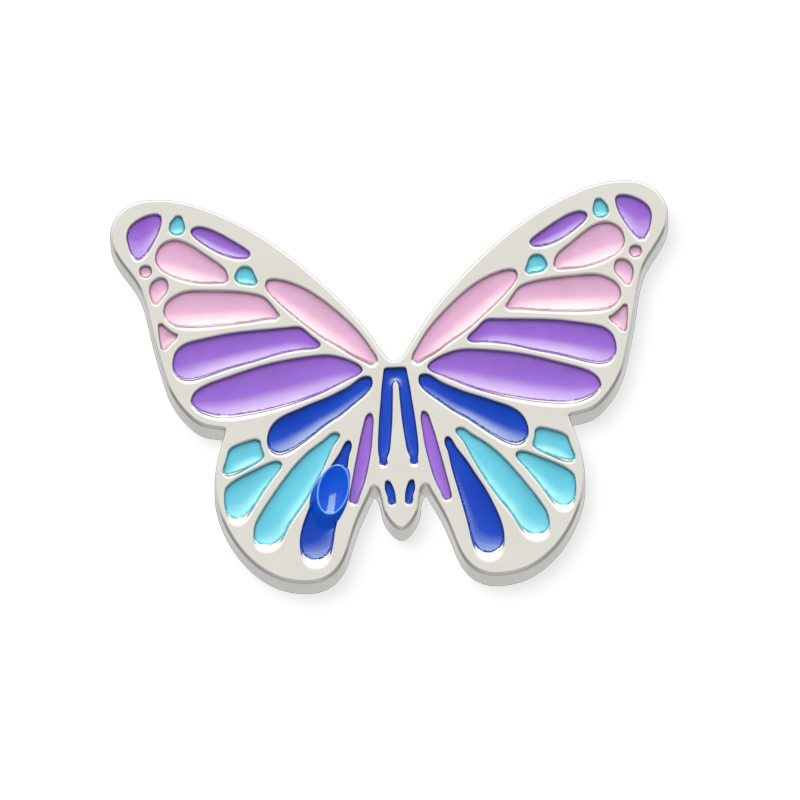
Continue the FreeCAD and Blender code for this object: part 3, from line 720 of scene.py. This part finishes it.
ENAMELS = {
    "pink": enamel("enamel_pink", linear(184, 144, 170), linear(180, 139, 166)),
    "turquoise": enamel("enamel_turquoise", linear(86, 166, 184), linear(81, 160, 180)),
    "purple": enamel("enamel_purple", linear(125, 87, 172), linear(120, 81, 168)),
    "blue": enamel("enamel_blue", linear(4, 54, 155), linear(3, 48, 149), gloss=0.24),
}
BEAD = enamel("enamel_bead", linear(0, 62, 163), linear(0, 56, 157), (0.09, 0.14))
# Painted highlight: the bead's colour turns pale blue along the crest of its rim
tone_where(BEAD, "thin", linear(96, 160, 250), 0.7)
# Painted shade: the cells' narrower walls are darkened towards dark grey, as shade in the recesses
tone_where(PLATED, "dull", linear(70, 69, 68), 0.55)


# ---------------------------------------------------------------- building the pieces

def gathered(name, things):
    """A collection that a light can be kept to."""
    group = bpy.data.collections.new(name)
    for thing in things:
        group.objects.link(thing)
    return group


cell_names = [n for n in sorted(NODES) if n.startswith("enamel_")]
face_loops = sorted(flat_loops("plate", FACE_Y), key=enclosed_area)[:-1]
cells = [Cell(name, face_loops) for name in cell_names]
make_plate(cells, PLATED)
fillings = {cell.name: make_enamel(cell, ENAMELS[colour_of(cell.name)]) for cell in cells}
bead_cell = next(cell for cell in cells if cell.name == BEAD_CELL)
bead = make_bead(bead_cell, fillings[BEAD_CELL], BEAD)
enamelled = gathered("enamelled", [*fillings.values(), bead])
flat_enamel = gathered("flat_enamel", fillings.values())
domed_enamel = gathered("domed_enamel", [bead])

for node, material in (
    ("pin_bar", FINDINGS), ("catch_housing", FINDINGS), ("catch_roller", FINDINGS),
    ("hinge_rivet", RIVET), ("pin_stem", STEEL), ("solder_left", SOLDER), ("solder_right", SOLDER),
):
    NODES[node].data.materials.clear()
    NODES[node].data.materials.append(material)


# ---------------------------------------------------------------- stage, light and camera

AIM = Vector((0.264, FACE_Y, -0.5)) * MM
CAMERA_PITCH = 23.0       # degrees by which the camera looks up at the brooch
CAMERA_ROLL = -2.4        # degrees
CAMERA_DISTANCE = 0.4
CAMERA_LENS = 251.6

# Lamps: azimuth and elevation in degrees, width and height in metres, and how bright it looks, 1 being white
LAMP_DISTANCE = 0.9
KEY = (0, 40, 1.6, 0.36, 6.0)
TOP = (0, 75, 1.4, 1.0, 1.8)
FILL = (0, -35, 1.4, 0.8, 1.2)
BEAD_FILL = (0, -45, 1.2, 0.8, 1.1)
BEAD_STREAK = (0, 58, 0.48, 1.1, 15.0)
CARD_LAMP = (-17, 14, 0.55, 0.55, 41.0)

# The pale sheets mirrored by the enamel: from and to how many degrees up, and how bright
VEIL = ((27, 31, 2), (31, 36, 5), (36, 42, 10), (42, 50, 14), (50, 62, 18), (62, 78, 15), (78, 105, 13))
VEIL_WIDTH = 1.5
VEIL_TINT = (1.0, 1.12, 0.5)

# The room that the metal mirrors: degrees up from the front, brightness and warmth
ROOM = (
    (-180, 0.6, 0), (-140, 0.57, 0), (-112, 0.45, 0), (-90, 0.35, 0), (-60, 0.5, 0), (-30, 0.52, 0),
    (-8, 0.45, 0), (8, 0.45, 0), (16, 0.85, 0.06), (28, 0.87, 0.06), (36, 1.0, 0), (45, 1.25, 0),
    (135, 1.25, 0), (150, 0.75, 0), (160, 0.66, 0), (180, 0.6, 0),
)
ROOM_SIDES = ((0.35, 1.0), (0.75, 0.74), (1.0, 0.56))  # how far to the side, and the brightness left there
ROOM_GLOW = 1.3           # a colour ramp ends at 1, so the room is stored divided by this
WHITE_SEEN = 1.02         # strength of the plain white behind everything

CARD_APART = 0.3          # from the plate's back to the card, in mm
CARD_LAP = 0.2            # how far the card runs in behind the plate's edge
CARD_HALF = 200.0
CARD_GLOW = 14.0          # the more the card glows, the fainter the shadow on it
FLOOR_HALF = 3.0          # in metres, as is its height
FLOOR_Z = -0.3
PALE = (0.93, 0.93, 0.93, 1)
SQUARE = ((-1.0, -1.0), (1.0, -1.0), (1.0, 1.0), (-1.0, 1.0))


def direction(azimuth, elevation):
    """Unit vector towards a place round the brooch: azimuth 0 is in front, 90 is to the right."""
    a, e = math.radians(azimuth), math.radians(elevation)
    return Vector((math.sin(a) * math.cos(e), -math.cos(a) * math.cos(e), math.sin(e)))


def softbox(name, lamp, rays, lit, tint=(1, 1, 1)):
    """A rectangle of even light that faces the brooch and lights one collection: the metal has only the room.

    Rays says whether it lights a thing's colour ("diffuse") or is mirrored by its gloss ("glossy").
    """
    azimuth, elevation, width, height, glow = lamp
    light = bpy.data.lights.new(name, "AREA")
    light.shape = "RECTANGLE"
    light.size, light.size_y = width, height
    light.energy = glow * math.pi * width * height
    light.color = tint
    box = bpy.data.objects.new(name, light)
    box.location = AIM + direction(azimuth, elevation) * LAMP_DISTANCE
    box.rotation_mode = "QUATERNION"
    box.rotation_quaternion = direction(azimuth, elevation).to_track_quat("Z", "Y")
    box.light_linking.receiver_collection = lit
    for kind in ("diffuse", "glossy"):
        setattr(box, "visible_" + kind, kind == rays)
    bpy.context.scene.collection.objects.link(box)


def make_camera():
    camera = bpy.data.objects.new("camera", bpy.data.cameras.new("camera"))
    camera.data.lens = CAMERA_LENS
    camera.data.clip_start = 0.01
    camera.data.clip_end = 20
    toward = direction(0, -CAMERA_PITCH)
    camera.location = AIM + toward * CAMERA_DISTANCE
    camera.rotation_mode = "QUATERNION"
    roll = Quaternion((0, 0, 1), math.radians(CAMERA_ROLL))
    camera.rotation_quaternion = toward.to_track_quat("Z", "Y") @ roll
    bpy.context.scene.collection.objects.link(camera)
    bpy.context.scene.camera = camera


def room_colour(tree):
    """The room's colour by direction: a ramp round the X axis, darker towards both sides."""
    place = tree.nodes.new("ShaderNodeTexCoord")
    split = tree.nodes.new("ShaderNodeSeparateXYZ")
    tree.links.new(place.outputs["Generated"], split.inputs["Vector"])
    front = calculate(tree, "MULTIPLY", split.outputs["Y"], -1)
    share = tree.nodes.new("ShaderNodeMapRange")
    share.inputs["From Min"].default_value = -math.pi
    share.inputs["From Max"].default_value = math.pi
    tree.links.new(calculate(tree, "ARCTAN2", split.outputs["Z"], front), share.inputs["Value"])
    stops = []
    for degrees, value, warm in ROOM:
        colour = tuple(value / ROOM_GLOW * c for c in (1, 1 - warm * 0.3, 1 - warm)) + (1,)
        stops.append(((degrees + 180) / 360, colour))
    room = ramp(tree, share.outputs["Result"], stops)
    side = calculate(tree, "ABSOLUTE", split.outputs["X"])
    beside = ramp(tree, side, [(far, (value, value, value, 1)) for far, value in ROOM_SIDES])
    return mixed(tree, "MULTIPLY", room, beside, 1.0)


def make_world():
    """White for the eye. Reflections see a room: pale above and behind, and dark low down in front."""
    world = bpy.data.worlds.new("studio")
    bpy.context.scene.world = world
    world.use_nodes = True
    tree = world.node_tree
    tree.nodes.clear()
    lit = tree.nodes.new("ShaderNodeBackground")
    lit.inputs["Strength"].default_value = ROOM_GLOW
    tree.links.new(room_colour(tree), lit.inputs["Color"])
    seen = tree.nodes.new("ShaderNodeBackground")
    seen.inputs["Color"].default_value = (1, 1, 1, 1)
    seen.inputs["Strength"].default_value = WHITE_SEEN
    path = tree.nodes.new("ShaderNodeLightPath")
    mix = tree.nodes.new("ShaderNodeMixShader")
    tree.links.new(path.outputs["Is Camera Ray"], mix.inputs["Fac"])
    tree.links.new(lit.outputs["Background"], mix.inputs[1])
    tree.links.new(seen.outputs["Background"], mix.inputs[2])
    out = tree.nodes.new("ShaderNodeOutputWorld")
    tree.links.new(mix.outputs["Shader"], out.inputs["Surface"])


def pale_sheet(name, spots, faces, glow=0.0):
    """A pale sheet that only the eye sees: it neither lights nor shades the brooch."""
    material, _, _ = principled(
        name, Base_Color=PALE, Roughness=0.9, Emission_Color=PALE, Emission_Strength=glow)
    mesh = bpy.data.meshes.new(name)
    mesh.from_pydata([Vector(spot) for spot in spots], [], faces)
    mesh.materials.append(material)
    sheet = bpy.data.objects.new(name, mesh)
    bpy.context.scene.collection.objects.link(sheet)
    for ray in ("diffuse", "glossy", "transmission", "shadow", "volume_scatter"):
        setattr(sheet, "visible_" + ray, False)
    return sheet


def make_card():
    """A sheet close behind the plate, which shows its shadow. An opening leaves the fittings in sight."""
    surface = Surface()
    edge = np.array(SQUARE) * CARD_HALF
    gap = smooth_loop(flat_loops("plate", BACK_Y)[0], STEP)
    loops = [edge, gap - outward(gap) * CARD_LAP]
    surface.cap([surface.ring(loop, BACK_Y + CARD_APART) for loop in loops], loops)
    sheet = pale_sheet("card", surface.all_spots() * MM, surface.faces, CARD_GLOW)
    sheet.is_shadow_catcher = True
    return sheet


card = make_card()
pale_sheet("floor", [(x * FLOOR_HALF, y * FLOOR_HALF, FLOOR_Z) for x, y in SQUARE], [(0, 1, 2, 3)])
softbox("key", KEY, "diffuse", enamelled)
softbox("top", TOP, "diffuse", enamelled)
softbox("fill", FILL, "diffuse", enamelled)
softbox("bead_fill", BEAD_FILL, "diffuse", domed_enamel)
softbox("streak", BEAD_STREAK, "glossy", domed_enamel, VEIL_TINT)
softbox("card_light", CARD_LAMP, "diffuse", gathered("backdrop", [card]))
for low, high, glow in VEIL:
    height = 2 * LAMP_DISTANCE * math.tan(math.radians(high - low) / 2)
    softbox(f"veil_{low}", (0, (low + high) / 2, VEIL_WIDTH, height, glow), "glossy", flat_enamel, VEIL_TINT)
make_world()
make_camera()
bpy.context.scene.view_settings.view_transform = "Standard"
